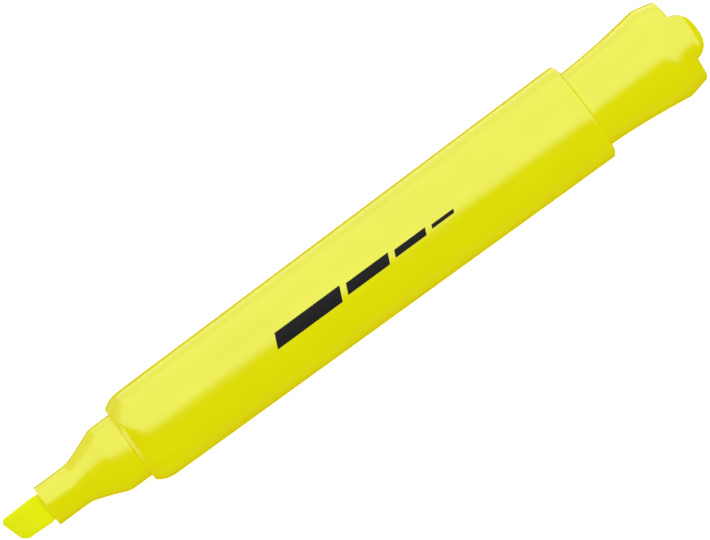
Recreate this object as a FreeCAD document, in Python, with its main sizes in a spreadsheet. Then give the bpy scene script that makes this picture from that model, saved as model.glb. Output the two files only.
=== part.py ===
"""Chisel-tip tank highlighter with its cap posted on the rear of the barrel.

Frame: +X runs from the nib to the cap, +Z is the printed face, Y is the width of the
oval barrel. The origin is under the middle of the posted length, on the plane that
the pocket clip touches. All bodies are modelled about the pen's own axis, with x = 0
on the front face of the barrel, or on the mouth of the cap for the pieces of the cap.
"""
import FreeCAD, Part
import Sketcher
import math
import os
import re

Vector = FreeCAD.Vector

DIMENSIONS = {
    # Barrel: an oval tank that widens towards the rear
    "BarrelLength": 91.8,
    "FaceLedge": 0.9,
    "RimHalfWidth": 1.85,
    "RimHalfDepth": 1.5,
    "BarrelTaperWidth": 0.8,
    "BarrelTaperDepth": 0.6,
    "ShoulderLength": 4.6,
    "RimCrown": 0.5,
    "RimFlat": 0.5,
    "FrontWall": 2.6,
    "BarrelWall": 1.15,
    "RibThickness": 1.0,
    # Cap socket and plug in the rear of the barrel
    "SocketDepth": 8.3,
    "PlugLedge": 0.25,
    "PlugDisc": 1.6,
    "PlugLength": 5.0,
    "PlugWall": 0.9,
    # Front section: oval base, flared taper, round tube, skirt inside the barrel
    "BaseHalfWidth": 6.05,
    "BaseStep": 0.9,
    "BaseLength": 4.2,
    "TaperLength": 6.3,
    "TubeLength": 6.3,
    "TubeWall": 0.6194,
    "TubeEdge": 0.2,
    "SkirtStep": 0.6,
    "SkirtLength": 6.0,
    "SectionWall": 1.0,
    # Chisel nib
    "NibWidth": 5.0,
    "NibThickness": 3.6,
    "NibReach": 7.5,
    "NibSlant": 1.6,
    "NibHeel": 0.9,
    "NibEdgeThickness": 1.3,
    "NibBevelLength": 3.2,
    "NibTailLength": 2.0,
    "NibEntry": 5.0,
    "NibFit": 0.05,
    # Ink reservoir
    "CoreClearance": 0.255,
    "FilmThickness": 0.12,
    "ReservoirGap": 0.3,
    # Cap
    "CapWall": 1.0,
    "CapFit": 0.05,
    "CapEndWall": 1.8,
    "CapStopGap": 0.5,
    "FlareRiseWidth": 1.4,
    "FlareRiseDepth": 1.15,
    "CapEndLength": 4.0,
    "FacetDropWidth": 0.75,
    "FacetDropDepth": 0.7,
    "CapEndRound": 0.6,
    "LobeLength": 2.75,
    "LobeHalfWidth": 4.2,
    "StrapDrop": 0.25,
    "StrapRoot": 0.8,
    "LobeCorner": 2.6,
    "LobeRound": 1.2,
    # Seal cup inside the cap
    "SealWall": 0.7,
    "NibRoom": 0.4,
    "BareTube": 1.5,
    # Pocket clip
    "ClipThickness": 1.3,
    "ClipGap": 0.45,
    "ClipSetIn": 0.3,
    "ClipNarrowing": 0.9,
    "ClipTipSetback": 1.0,
    "ClipLean": 0.8,
    "ClipCorner": 1.2,
    "ClipPad": 0.35,
    "ClipPadLength": 0.9,
    "KnuckleRadius": 1.0,
    # General fits
    "PressFit": 0.01,
    "RunningFit": 0.05,
}

# Sizes that follow from the driving ones, as sheet formulas
DERIVED = {
    "FrontReach": "=BaseLength + TaperLength + TubeLength + NibReach",
    "TubeRadius": "=sqrt((NibWidth / 2) ^ 2 + (NibThickness / 2) ^ 2) + TubeWall",
    "BaseHalfDepth": "=TubeRadius + BaseStep",
    "CapInnerHalfWidth": "=BaseHalfWidth + CapFit",
    "CapInnerHalfDepth": "=BaseHalfDepth + CapFit",
    "MouthHalfWidth": "=CapInnerHalfWidth + CapWall",
    "MouthHalfDepth": "=CapInnerHalfDepth + CapWall",
    "FlareHalfWidth": "=MouthHalfWidth + FlareRiseWidth",
    "FlareHalfDepth": "=MouthHalfDepth + FlareRiseDepth",
    "CapEndHalfWidth": "=FlareHalfWidth - FacetDropWidth",
    "CapEndHalfDepth": "=FlareHalfDepth - FacetDropDepth",
    "CapSkirt": "=SocketDepth - CapStopGap",
    "CapDepth": "=FrontReach + NibRoom + SealWall",
    "CapLength": "=CapDepth + CapEndWall",
    "FlareLength": "=CapLength - CapSkirt - CapEndLength",
    "SealLength": "=SealWall + NibRoom + NibReach + TubeLength - BareTube",
    "SealInnerRadius": "=TubeRadius + CapFit",
    "SealRadius": "=SealInnerRadius + SealWall",
    "RearReach": "=BarrelLength + CapLength - CapSkirt + LobeLength",
    "FrameShift": "=(FrontReach - RearReach) / 2",
    "ClipInner": "=FlareHalfDepth + ClipGap",
    "AxisHeight": "=ClipInner + ClipThickness",
    "CapStart": "=BarrelLength - CapSkirt",
    "SocketHalfWidth": "=MouthHalfWidth + CapFit",
    "SocketHalfDepth": "=MouthHalfDepth + CapFit",
    "SeatHalfWidth": "=SocketHalfWidth - PlugLedge",
    "SeatHalfDepth": "=SocketHalfDepth - PlugLedge",
    "SeatStart": "=BarrelLength - SocketDepth - PlugLength",
    "BarrelFaceHalfWidth": "=BaseHalfWidth + FaceLedge",
    "BarrelFaceHalfDepth": "=BaseHalfDepth + FaceLedge",
    "BarrelRearHalfWidth": "=SocketHalfWidth + RimHalfWidth",
    "BarrelRearHalfDepth": "=SocketHalfDepth + RimHalfDepth",
    "BarrelFrontHalfWidth": "=BarrelRearHalfWidth - BarrelTaperWidth",
    "BarrelFrontHalfDepth": "=BarrelRearHalfDepth - BarrelTaperDepth",
    "ReservoirRadius": "=SeatHalfDepth - PlugLedge / 2 - CoreClearance",
    "CoreRadius": "=ReservoirRadius - FilmThickness",
    "CavityHalfWidth": "=BarrelFrontHalfWidth - BarrelWall",
    "CavityHalfDepth": "=ReservoirRadius + RunningFit",
    "SkirtHalfWidth": "=BaseHalfWidth - SkirtStep",
    "SkirtHalfDepth": "=BaseHalfDepth - SkirtStep",
    "SectionInnerHalfWidth": "=SkirtHalfWidth - SectionWall",
    "SectionInnerHalfDepth": "=SkirtHalfDepth - SectionWall",
    "CoreStart": "=SkirtLength + ReservoirGap",
    "CoreLength": "=SeatStart - ReservoirGap - CoreStart",
    "NibTip": "=-FrontReach",
    "NibRear": "=CoreStart + NibEntry",
    "StrapHalfDepth": "=FlareHalfDepth - StrapDrop",
    "StrapStart": "=CapSkirt + FlareLength - StrapRoot",
    "StrapSide": "=StrapHalfDepth * sqrt(1 - (LobeHalfWidth / FlareHalfWidth) ^ 2)",
    "StrapCrown": "=(LobeHalfWidth ^ 2 + (StrapHalfDepth - StrapSide) ^ 2)"
                  " / (2 * (StrapHalfDepth - StrapSide))",
    "ClipLength": "=FlareLength + CapEndLength - ClipTipSetback",
    "ClipRootHalfWidth": "=LobeHalfWidth - ClipSetIn",
    "ClipTipHalfWidth": "=ClipRootHalfWidth - ClipNarrowing",
}

SHOULDER_STEPS = (0.0, 0.12, 0.3, 0.55, 0.8, 1.0)
SHOULDER_FULLNESS = 3.3
TAPER_STEPS = (0.0, 0.12, 0.25, 0.4, 0.55, 0.7, 0.85, 1.0)
TAPER_BEND = 1.15
FLARE_STEPS = (0.0, 0.25, 0.5, 0.75, 1.0)
FLARE_POWER = 1.6
ROUND_STEPS = 4

document = FreeCAD.newDocument("Highlighter")
sheet = document.addObject("Spreadsheet::Sheet", "Dimensions")


def fill_sheet():
    """Write every driving and derived size to the sheet, one row each."""
    rows = [(alias, str(value)) for alias, value in DIMENSIONS.items()]
    rows += list(DERIVED.items())
    for number, (alias, content) in enumerate(rows, start=1):
        sheet.set(f"A{number}", alias)
        sheet.setAlias(f"B{number}", alias)
        sheet.set(f"B{number}", content)
    document.recompute()


def size(alias):
    """Return a size of the sheet as a number."""
    return float(sheet.get(alias))


def linked(formula):
    """Return a formula of sheet aliases in the form that an object's property reads."""
    return re.sub(r"[A-Za-z]+", lambda word: f"Dimensions.{word.group()}", formula)


def new_body(name, start="0"):
    """Add a sub-part whose own x = 0 lies at `start` along the pen."""
    body = document.addObject("PartDesign::Body", name)
    body.Label = name
    body.setExpression("Placement.Base.x", linked(f"FrameShift + {start}"))
    body.setExpression("Placement.Base.z", linked("AxisHeight"))
    return body


def new_sketch(body, name, plane, offset="0"):
    """Attach a sketch to one of the body's own origin planes, `offset` along its normal."""
    sketch = body.newObject("Sketcher::SketchObject", f"{body.Name}_{name}")
    support = next(item for item in body.Origin.OriginFeatures if item.Role == plane)
    sketch.AttachmentSupport = [(support, "")]
    sketch.MapMode = "FlatFace"
    sketch.setExpression("AttachmentOffset.Base.z", linked(offset))
    return sketch


def constrain(sketch, kind, *arguments, formula):
    """Add a dimension that follows a formula of the sheet, with its value as a start."""
    index = sketch.addConstraint(Sketcher.Constraint(kind, *arguments))
    sketch.setExpression(f"Constraints[{index}]", linked(formula))


def oval(body, name, half_width, half_depth, station):
    """Sketch an upright ellipse across the pen at a station along its axis."""
    sketch = new_sketch(body, name, "YZ_Plane", station)
    sketch.addGeometry(Part.Ellipse(Vector(0, 0, 0), 9, 7), False)
    sketch.exposeInternalGeometry(0)
    sketch.addConstraint(Sketcher.Constraint("Coincident", 0, 3, -1, 1))
    sketch.addConstraint(Sketcher.Constraint("Horizontal", 1))
    constrain(sketch, "Distance", 1, 18.0, formula=f"2 * ( {half_width} )")
    constrain(sketch, "Distance", 2, 14.0, formula=f"2 * ( {half_depth} )")
    return sketch


def circle(body, name, radius, station):
    """Sketch a circle across the pen at a station along its axis."""
    sketch = new_sketch(body, name, "YZ_Plane", station)
    sketch.addGeometry(Part.Circle(Vector(0, 0, 0), Vector(0, 0, 1), 5), False)
    sketch.addConstraint(Sketcher.Constraint("Coincident", 0, 3, -1, 1))
    constrain(sketch, "Radius", 0, 5.0, formula=radius)
    return sketch


def outline(body, name, plane, points, offset="0"):
    """Sketch a closed polygon whose corners are pairs of sheet formulas."""
    sketch = new_sketch(body, name, plane, offset)
    count = len(points)
    corners = [Vector(number(x), number(y), 0) for x, y in points]
    for index in range(count):
        sketch.addGeometry(Part.LineSegment(corners[index], corners[(index + 1) % count]), False)
    for index in range(count):
        sketch.addConstraint(Sketcher.Constraint("Coincident", index, 2, (index + 1) % count, 1))
    for index, (x, y) in enumerate(points):
        constrain(sketch, "DistanceX", -1, 1, index, 1, corners[index].x, formula=x)
        constrain(sketch, "DistanceY", -1, 1, index, 1, corners[index].y, formula=y)
    return sketch


def number(formula):
    """Work out a formula of sheet aliases as a number."""
    return float(sheet.evalExpression(formula))


def volume(body):
    """Return the volume of a body, or nothing while it is empty."""
    return body.Shape.Volume if not body.Shape.isNull() else 0.0


def finish_feature(body, feature, grows):
    """Recompute a feature and make sure that it added or removed material."""
    before = volume(body)
    body.Tip = feature
    document.recompute()
    change = volume(body) - before
    if (change <= 0) if grows else (change >= 0):
        raise RuntimeError(f"{feature.Name} changes the volume by {change:.3f}")
    return feature


def loft(body, name, sections, ruled=False, cut=False):
    """Join sections with a solid, or cut that solid away."""
    kind = "PartDesign::SubtractiveLoft" if cut else "PartDesign::AdditiveLoft"
    feature = body.newObject(kind, f"{body.Name}_{name}")
    feature.Profile = sections[0]
    feature.Sections = sections[1:]
    feature.Ruled = ruled
    return finish_feature(body, feature, not cut)


def pad(body, name, sketch, length, midplane=False, reverse=False):
    """Extrude a sketch along its normal."""
    feature = body.newObject("PartDesign::Pad", f"{body.Name}_{name}")
    feature.Profile = sketch
    feature.setExpression("Length", linked(length))
    feature.SideType = "Symmetric" if midplane else "One side"
    feature.Reversed = reverse
    return finish_feature(body, feature, True)


def pocket(body, name, sketch, length, midplane=False, reverse=False):
    """Cut a sketch away, against its normal unless it is reversed."""
    feature = body.newObject("PartDesign::Pocket", f"{body.Name}_{name}")
    feature.Profile = sketch
    feature.setExpression("Length", linked(length))
    feature.SideType = "Symmetric" if midplane else "One side"
    feature.Reversed = reverse
    return finish_feature(body, feature, False)


def fillet(body, name, edges, radius):
    """Round the edges that `edges` picks from the body's present shape."""
    base = body.Tip
    names = [f"Edge{index}" for index, edge in enumerate(base.Shape.Edges, start=1) if edges(edge)]
    feature = body.newObject("PartDesign::Fillet", f"{body.Name}_{name}")
    feature.Base = (base, names)
    feature.setExpression("Radius", linked(radius))
    return finish_feature(body, feature, False)


def at_station(station):
    """Return a test for edges that lie in one plane across the pen."""
    place = number(station)

    def test(edge):
        box = edge.BoundBox
        return abs(box.XMin - place) < 1e-4 and abs(box.XMax - place) < 1e-4
    return test


def build_barrel():
    """Oval tank: crowned shoulder, tapered body, cap socket, plug seat and core cavity."""
    body = new_body("barrel_shell")
    shoulder = []
    for index, step in enumerate(SHOULDER_STEPS):
        rise = round(1 - (1 - step) ** SHOULDER_FULLNESS, 6)
        shoulder.append(oval(
            body, f"shoulder_{index}",
            f"BarrelFaceHalfWidth + ( BarrelFrontHalfWidth - BarrelFaceHalfWidth ) * {rise}",
            f"BarrelFaceHalfDepth + ( BarrelFrontHalfDepth - BarrelFaceHalfDepth ) * {rise}",
            f"ShoulderLength * {step}"))
    loft(body, "shoulder", shoulder)
    front = oval(body, "body_front", "BarrelFrontHalfWidth", "BarrelFrontHalfDepth",
                 "ShoulderLength")
    rear = oval(body, "body_rear", "BarrelRearHalfWidth", "BarrelRearHalfDepth",
                "BarrelLength - RimCrown")
    loft(body, "body", [front, rear], ruled=True)
    rim_outer = oval(body, "rim_outer", "BarrelRearHalfWidth", "BarrelRearHalfDepth",
                     "BarrelLength - RimCrown")
    rim_inner = oval(body, "rim_inner", "SocketHalfWidth + RimFlat", "SocketHalfDepth + RimFlat",
                     "BarrelLength")
    loft(body, "rim", [rim_outer, rim_inner], ruled=True)
    socket = oval(body, "socket_sketch", "SocketHalfWidth", "SocketHalfDepth", "BarrelLength")
    pocket(body, "socket", socket, "SocketDepth")
    seat = oval(body, "seat_sketch", "SeatHalfWidth", "SeatHalfDepth",
                "BarrelLength - SocketDepth")
    pocket(body, "seat", seat, "PlugLength")
    cavity_rear = oval(body, "cavity_rear", "SeatHalfWidth - PlugLedge / 2",
                       "SeatHalfDepth - PlugLedge / 2", "SeatStart")
    cavity_front = oval(body, "cavity_front", "CavityHalfWidth", "CavityHalfDepth", "FrontWall")
    loft(body, "cavity", [cavity_rear, cavity_front], ruled=True, cut=True)
    bore = oval(body, "bore_sketch", "SkirtHalfWidth + PressFit", "SkirtHalfDepth + PressFit", "0")
    pocket(body, "bore", bore, "FrontWall + RunningFit", reverse=True)
    for side, sign in (("left", 1), ("right", -1)):
        inner = f"{sign} * ( ReservoirRadius + RunningFit )"
        outer = f"{sign} * ( CavityHalfWidth + BarrelWall / 2 )"
        rib = outline(body, f"rib_{side}_sketch", "YZ_Plane", [
            (inner, "-RibThickness / 2"), (outer, "-RibThickness / 2"),
            (outer, "RibThickness / 2"), (inner, "RibThickness / 2")], "SkirtLength + ReservoirGap")
        pad(body, f"rib_{side}", rib, "CoreLength")
    return body


def taper_sections(body, name, half_width, half_depth, radius, end):
    """Sketch the sections of the flared taper from the tube to the oval base."""
    sections = [circle(body, f"{name}_0", radius, f"{end} - TaperLength")]
    for index, step in enumerate(TAPER_STEPS[1:], start=1):
        blend = round(step ** TAPER_BEND, 6)
        sections.append(oval(
            body, f"{name}_{index}",
            f"{radius} + ( {half_width} - {radius} ) * {blend}",
            f"{radius} + ( {half_depth} - {radius} ) * {blend}",
            f"{end} - TaperLength * {round(1 - step, 6)}"))
    return sections


def build_front_section():
    """Nose moulding: round tube, flared taper, oval base and the skirt in the barrel."""
    body = new_body("front_section")
    tube = circle(body, "tube_sketch", "TubeRadius", "-BaseLength - TaperLength")
    pad(body, "tube", tube, "TubeLength", reverse=True)
    fillet(body, "tube_edge", at_station("-BaseLength - TaperLength - TubeLength"), "TubeEdge")
    loft(body, "taper", taper_sections(body, "taper", "BaseHalfWidth", "BaseHalfDepth",
                                       "TubeRadius", "-BaseLength"))
    base = oval(body, "base_sketch", "BaseHalfWidth", "BaseHalfDepth", "0")
    pad(body, "base", base, "BaseLength", reverse=True)
    skirt = oval(body, "skirt_sketch", "SkirtHalfWidth", "SkirtHalfDepth", "0")
    pad(body, "skirt", skirt, "SkirtLength")
    hollow = oval(body, "hollow_sketch", "SectionInnerHalfWidth", "SectionInnerHalfDepth",
                  "SkirtLength")
    pocket(body, "hollow", hollow, "SkirtLength + BaseLength")
    funnel_rear = oval(body, "funnel_rear", "SectionInnerHalfWidth", "SectionInnerHalfDepth",
                       "-BaseLength")
    funnel_front = circle(body, "funnel_front", "TubeRadius - SectionWall",
                          "-BaseLength - TaperLength")
    loft(body, "funnel", [funnel_rear, funnel_front], ruled=True, cut=True)
    slot = outline(body, "slot_sketch", "YZ_Plane", [
        ("-NibWidth / 2 - NibFit", "-NibThickness / 2 - NibFit"),
        ("NibWidth / 2 + NibFit", "-NibThickness / 2 - NibFit"),
        ("NibWidth / 2 + NibFit", "NibThickness / 2 + NibFit"),
        ("-NibWidth / 2 - NibFit", "NibThickness / 2 + NibFit")], "-BaseLength")
    pocket(body, "slot", slot, "TaperLength + TubeLength")
    return body


def build_nib():
    """Felt bar with a slanted, bevelled chisel end and a wedge tail in the core."""
    body = new_body("chisel_nib")
    plan = outline(body, "plan", "XY_Plane", [
        ("NibTip", "NibWidth / 2"),
        ("NibTip + NibSlant", "-NibWidth / 2 + NibHeel"),
        ("NibTip + NibSlant + NibHeel", "-NibWidth / 2"),
        ("NibRear", "-NibWidth / 2"),
        ("NibRear", "NibWidth / 2")])
    pad(body, "bar", plan, "NibThickness", midplane=True)
    for side, sign in (("top", 1), ("bottom", -1)):
        face = f"{sign} * NibThickness / 2"
        edge = f"{sign} * NibEdgeThickness / 2"
        bevel = outline(body, f"bevel_{side}_sketch", "XZ_Plane", [
            ("NibTip + NibBevelLength", face), ("NibTip - NibSlant", face),
            ("NibTip - NibSlant", edge), ("NibTip", edge)])
        pocket(body, f"bevel_{side}", bevel, "2 * NibWidth", midplane=True)
        tail = outline(body, f"tail_{side}_sketch", "XZ_Plane", [
            ("NibRear - NibTailLength", face), ("NibRear + NibTailLength", face),
            ("NibRear + NibTailLength", f"{sign} * NibThickness / 6"),
            ("NibRear", f"{sign} * NibThickness / 6")])
        pocket(body, f"tail_{side}", tail, "2 * NibWidth", midplane=True)
    return body


def build_reservoir():
    """Fibre core with a slot for the nib's tail, and the film wrapped round it."""
    core = new_body("ink_core")
    rod = circle(core, "rod_sketch", "CoreRadius", "CoreStart")
    pad(core, "rod", rod, "CoreLength")
    slot = outline(core, "slot_sketch", "YZ_Plane", [
        ("-NibWidth / 2 - PressFit", "-NibThickness / 2 - PressFit"),
        ("NibWidth / 2 + PressFit", "-NibThickness / 2 - PressFit"),
        ("NibWidth / 2 + PressFit", "NibThickness / 2 + PressFit"),
        ("-NibWidth / 2 - PressFit", "NibThickness / 2 + PressFit")], "CoreStart")
    pocket(core, "slot", slot, "NibEntry + PressFit", reverse=True)

    film = new_body("core_film")
    outer = circle(film, "outer_sketch", "ReservoirRadius", "CoreStart")
    pad(film, "outer", outer, "CoreLength")
    inner = circle(film, "inner_sketch", "CoreRadius + PressFit", "CoreStart")
    pocket(film, "inner", inner, "CoreLength", reverse=True)
    return core, film


def build_rear_plug():
    """Stopper that closes the tank at the bottom of the cap socket."""
    body = new_body("rear_plug")
    disc = oval(body, "disc_sketch", "SeatHalfWidth - PressFit", "SeatHalfDepth - PressFit",
                "BarrelLength - SocketDepth")
    pad(body, "disc", disc, "PlugLength", reverse=True)
    hollow = oval(body, "hollow_sketch", "SeatHalfWidth - PlugWall", "SeatHalfDepth - PlugWall",
                  "SeatStart")
    pocket(body, "hollow", hollow, "PlugLength - PlugDisc", reverse=True)
    return body


def build_cap():
    """Cap moulding: skirt, flared grip, faceted end and the lobe that carries the clip."""
    body = new_body("cap_shell", "CapStart")
    pad(body, "strap", strap_section(body), "CapLength + LobeLength - StrapStart")
    fillet(body, "lobe_corner", lobe_corner, "LobeCorner")
    fillet(body, "lobe_round", lobe_rim, "LobeRound")
    crease = oval(body, "crease", "FlareHalfWidth", "FlareHalfDepth", "CapSkirt + FlareLength")
    facet_end = oval(body, "facet_end", "CapEndHalfWidth", "CapEndHalfDepth",
                     "CapLength - CapEndRound")
    loft(body, "facet", [crease, facet_end], ruled=True)
    rounding = []
    for index in range(ROUND_STEPS + 1):
        angle = math.pi / 2 * index / ROUND_STEPS
        drop = round(1 - math.cos(angle), 6)
        rounding.append(oval(
            body, f"round_{index}", f"CapEndHalfWidth - CapEndRound * {drop}",
            f"CapEndHalfDepth - CapEndRound * {drop}",
            f"CapLength - CapEndRound * {round(1 - math.sin(angle), 6)}"))
    loft(body, "end_round", rounding)
    flare = []
    for index, step in enumerate(FLARE_STEPS):
        rise = round(step ** FLARE_POWER, 6)
        flare.append(oval(
            body, f"flare_{index}",
            f"MouthHalfWidth + ( FlareHalfWidth - MouthHalfWidth ) * {rise}",
            f"MouthHalfDepth + ( FlareHalfDepth - MouthHalfDepth ) * {rise}",
            f"CapSkirt + FlareLength * {step}"))
    loft(body, "flare", flare)
    skirt = oval(body, "skirt_sketch", "MouthHalfWidth", "MouthHalfDepth", "0")
    pad(body, "skirt", skirt, "CapSkirt")
    cavity = oval(body, "cavity_sketch", "CapInnerHalfWidth", "CapInnerHalfDepth", "0")
    pocket(body, "cavity", cavity, "CapDepth", reverse=True)
    groove = hinge_circle(body, "groove_sketch", "KnuckleRadius + RunningFit")
    pocket(body, "groove", groove, "4 * LobeHalfWidth", midplane=True)
    return body


def strap_section(body):
    """Section of the lobe's strap: upright sides under crowns flush with the flare."""
    sketch = new_sketch(body, "strap_sketch", "YZ_Plane", "StrapStart")
    half, side = size("LobeHalfWidth"), size("StrapSide")
    crown, radius = size("StrapHalfDepth"), size("StrapCrown")
    sketch.addGeometry(Part.LineSegment(Vector(half, -side, 0), Vector(half, side, 0)), False)
    sketch.addGeometry(Part.LineSegment(Vector(-half, side, 0), Vector(-half, -side, 0)), False)
    for sign in (1, -1):
        ends = Vector(sign * half, sign * side, 0), Vector(-sign * half, sign * side, 0)
        sketch.addGeometry(Part.Arc(ends[0], Vector(0, sign * crown, 0), ends[1]), False)
    for first, start, second, end in ((2, 1, 0, 2), (2, 2, 1, 1), (3, 1, 1, 2), (3, 2, 0, 1)):
        sketch.addConstraint(Sketcher.Constraint("Coincident", first, start, second, end))
    for line, sign in ((0, 1), (1, -1)):
        sketch.addConstraint(Sketcher.Constraint("Vertical", line))
        constrain(sketch, "DistanceX", -1, 1, line, 1, sign * half, formula=f"{sign} * LobeHalfWidth")
        constrain(sketch, "DistanceY", -1, 1, line, 1, -sign * side, formula=f"{-sign} * StrapSide")
    constrain(sketch, "DistanceY", -1, 1, 0, 2, side, formula="StrapSide")
    for arc in (2, 3):
        constrain(sketch, "Radius", arc, radius, formula="StrapCrown")
    return sketch


def lobe_corner(edge):
    """Pick the upright corners at the outer end of the lobe."""
    return upright(edge) and edge.BoundBox.XMin > size("CapLength")


def lobe_rim(edge):
    """Pick the rims that run lengthwise or round the outer end of the lobe."""
    box = edge.BoundBox
    return box.ZMin * box.ZMax > 0 and box.XMax > size("CapLength")


def build_seal():
    """Soft cup inside the cap that grips the nose tube when the pen is capped."""
    body = new_body("cap_seal", "CapStart")
    outer = circle(body, "outer_sketch", "SealRadius", "CapDepth")
    pad(body, "outer", outer, "SealLength", reverse=True)
    inner = circle(body, "inner_sketch", "SealInnerRadius", "CapDepth - SealLength")
    pocket(body, "inner", inner, "SealLength - SealWall", reverse=True)
    return body


def build_clip():
    """Pocket clip: a leaning tongue along the back of the cap, hinged at the lobe."""
    body = new_body("pocket_clip", "CapStart")
    root = "CapLength + LobeLength / 2"
    tip = "CapLength - ClipLength"
    profile = outline(body, "profile", "XZ_Plane", [
        (root, "-ClipInner"), (root, "-ClipInner - ClipThickness"),
        ("CapLength", "-ClipInner - ClipThickness"),
        (tip, "-ClipInner - ClipThickness + ClipLean"),
        (tip, "-ClipInner + ClipLean"),
        ("CapLength - KnuckleRadius", "-ClipInner")])
    pad(body, "tongue", profile, "2 * ClipRootHalfWidth", midplane=True)
    for side, sign in (("left", 1), ("right", -1)):
        outside = f"{sign} * 2 * ClipRootHalfWidth"
        flank = outline(body, f"flank_{side}_sketch", "XY_Plane", [
            ("CapLength", outside), ("CapLength", f"{sign} * ClipRootHalfWidth"),
            (tip, f"{sign} * ClipTipHalfWidth"), (tip, outside)])
        pocket(body, f"flank_{side}", flank, "4 * ClipInner", midplane=True)
    fillet(body, "corners", clip_corner, "ClipCorner")
    nub = outline(body, "nub_sketch", "XZ_Plane", [
        (f"{tip} + ClipPadLength", "-ClipInner + ClipLean - ClipPad"),
        (f"{tip} + 3 * ClipPadLength", "-ClipInner + ClipLean - ClipPad"),
        (f"{tip} + 2 * ClipPadLength", "-ClipInner + ClipLean + ClipPad"),
        (f"{tip} + ClipPadLength", "-ClipInner + ClipLean + ClipPad")])
    pad(body, "nub", nub, "ClipTipHalfWidth", midplane=True)
    knuckle = hinge_circle(body, "knuckle_sketch", "KnuckleRadius")
    pad(body, "knuckle", knuckle, "2 * ClipRootHalfWidth", midplane=True)
    neck = outline(body, "neck_sketch", "XZ_Plane", [
        ("CapLength - KnuckleRadius", "-ClipInner - ClipThickness / 2"),
        ("CapLength + KnuckleRadius", "-ClipInner - ClipThickness / 2"),
        ("CapLength + KnuckleRadius", "-StrapHalfDepth"),
        ("CapLength - KnuckleRadius", "-StrapHalfDepth")])
    pad(body, "neck", neck, "2 * ClipRootHalfWidth", midplane=True)
    return body


def upright(edge):
    """Pick edges that run straight along Z."""
    box = edge.BoundBox
    return box.XMax - box.XMin < 1e-4 and box.YMax - box.YMin < 1e-4


def clip_corner(edge):
    """Pick the four corners of the tongue, not the kinks where its flanks begin to close."""
    return upright(edge) and abs(edge.BoundBox.XMin - size("CapLength")) > 1e-4


def hinge_circle(body, name, radius):
    """Sketch a circle about the axis on which the clip springs open."""
    sketch = new_sketch(body, name, "XZ_Plane")
    sketch.addGeometry(Part.Circle(Vector(1, -1, 0), Vector(0, 0, 1), 1), False)
    constrain(sketch, "DistanceX", -1, 1, 0, 3, 1.0, formula="CapLength")
    constrain(sketch, "DistanceY", -1, 1, 0, 3, -1.0, formula="-StrapHalfDepth")
    constrain(sketch, "Radius", 0, 1.0, formula=radius)
    return sketch


def check_document():
    """Stop if any object failed, or if a sub-part's shape is empty, broken or not one solid."""
    failed = [item.Name for item in document.Objects
              if "Invalid" in item.State or "Error" in item.State]
    for body in document.findObjects("PartDesign::Body"):
        shape = body.Shape
        if shape.isNull() or not shape.isValid() or len(shape.Solids) != 1:
            failed.append(body.Label)
    if failed:
        raise RuntimeError(f"Failed objects: {', '.join(failed)}")


def export_parts():
    """Write each sub-part in the pen's frame to parts/."""
    os.makedirs("parts", exist_ok=True)
    for body in document.findObjects("PartDesign::Body"):
        body.Shape.exportStep(f"parts/{body.Label}.step")
        print(f"{body.Label}: {body.Shape.Volume:.1f} mm3")


fill_sheet()
build_barrel()
build_front_section()
build_nib()
build_reservoir()
build_rear_plug()
build_cap()
build_seal()
build_clip()
check_document()
export_parts()
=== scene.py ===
"""Looks of a chisel-tip tank highlighter whose cap is posted on the rear of the barrel.

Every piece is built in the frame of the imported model, in metres. Sizes in the classes are in
millimetres along the pen: x = 0 on the front face of the barrel, or on the mouth of the cap
for the pieces of the cap, with the depth measured from the pen's own axis.
"""

import logging
import math
from collections.abc import Callable, Iterable, Sequence
from dataclasses import dataclass, replace
from enum import Enum

import bmesh
import bpy
from mathutils import Matrix, Vector


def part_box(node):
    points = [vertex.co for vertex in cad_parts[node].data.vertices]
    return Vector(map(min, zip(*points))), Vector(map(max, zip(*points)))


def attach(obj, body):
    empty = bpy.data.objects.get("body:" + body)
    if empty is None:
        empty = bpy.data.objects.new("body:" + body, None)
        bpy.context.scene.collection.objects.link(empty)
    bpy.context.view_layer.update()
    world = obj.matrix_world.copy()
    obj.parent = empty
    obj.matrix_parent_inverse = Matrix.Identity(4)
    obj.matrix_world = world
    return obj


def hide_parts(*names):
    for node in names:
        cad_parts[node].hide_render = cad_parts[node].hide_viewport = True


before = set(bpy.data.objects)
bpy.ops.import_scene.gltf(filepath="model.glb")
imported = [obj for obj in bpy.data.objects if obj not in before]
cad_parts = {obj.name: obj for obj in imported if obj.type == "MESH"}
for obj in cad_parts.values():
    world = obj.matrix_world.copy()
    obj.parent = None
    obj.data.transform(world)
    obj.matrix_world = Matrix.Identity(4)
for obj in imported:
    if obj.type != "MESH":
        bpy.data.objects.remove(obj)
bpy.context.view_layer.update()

MM = 0.001
SMOOTH_ANGLE = math.radians(38.0)
SENSOR = 36.0
UP = Vector((0.0, 0.0, 1.0))
log = logging.getLogger("highlighter")


# ---------------------------------------------------------------------------------------
# Shape tools
# ---------------------------------------------------------------------------------------


class Facing(Enum):
    """Which end of a skin a closing pole stands on."""

    FIRST = 0
    LAST = -1


@dataclass(frozen=True)
class Datum:
    """A place on the pen's axis from which a sub-assembly is measured.

    Args:
        start: where x = 0 lies along the frame, in millimetres.
        axis: height of the pen's axis above the resting plane, in millimetres.
    """

    start: float
    axis: float

    def at(self, x: float, y: float, z: float) -> Vector:
        """Return a point of the sub-assembly in the frame, in metres."""
        return Vector(((self.start + x) * MM, y * MM, (self.axis + z) * MM))


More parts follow.
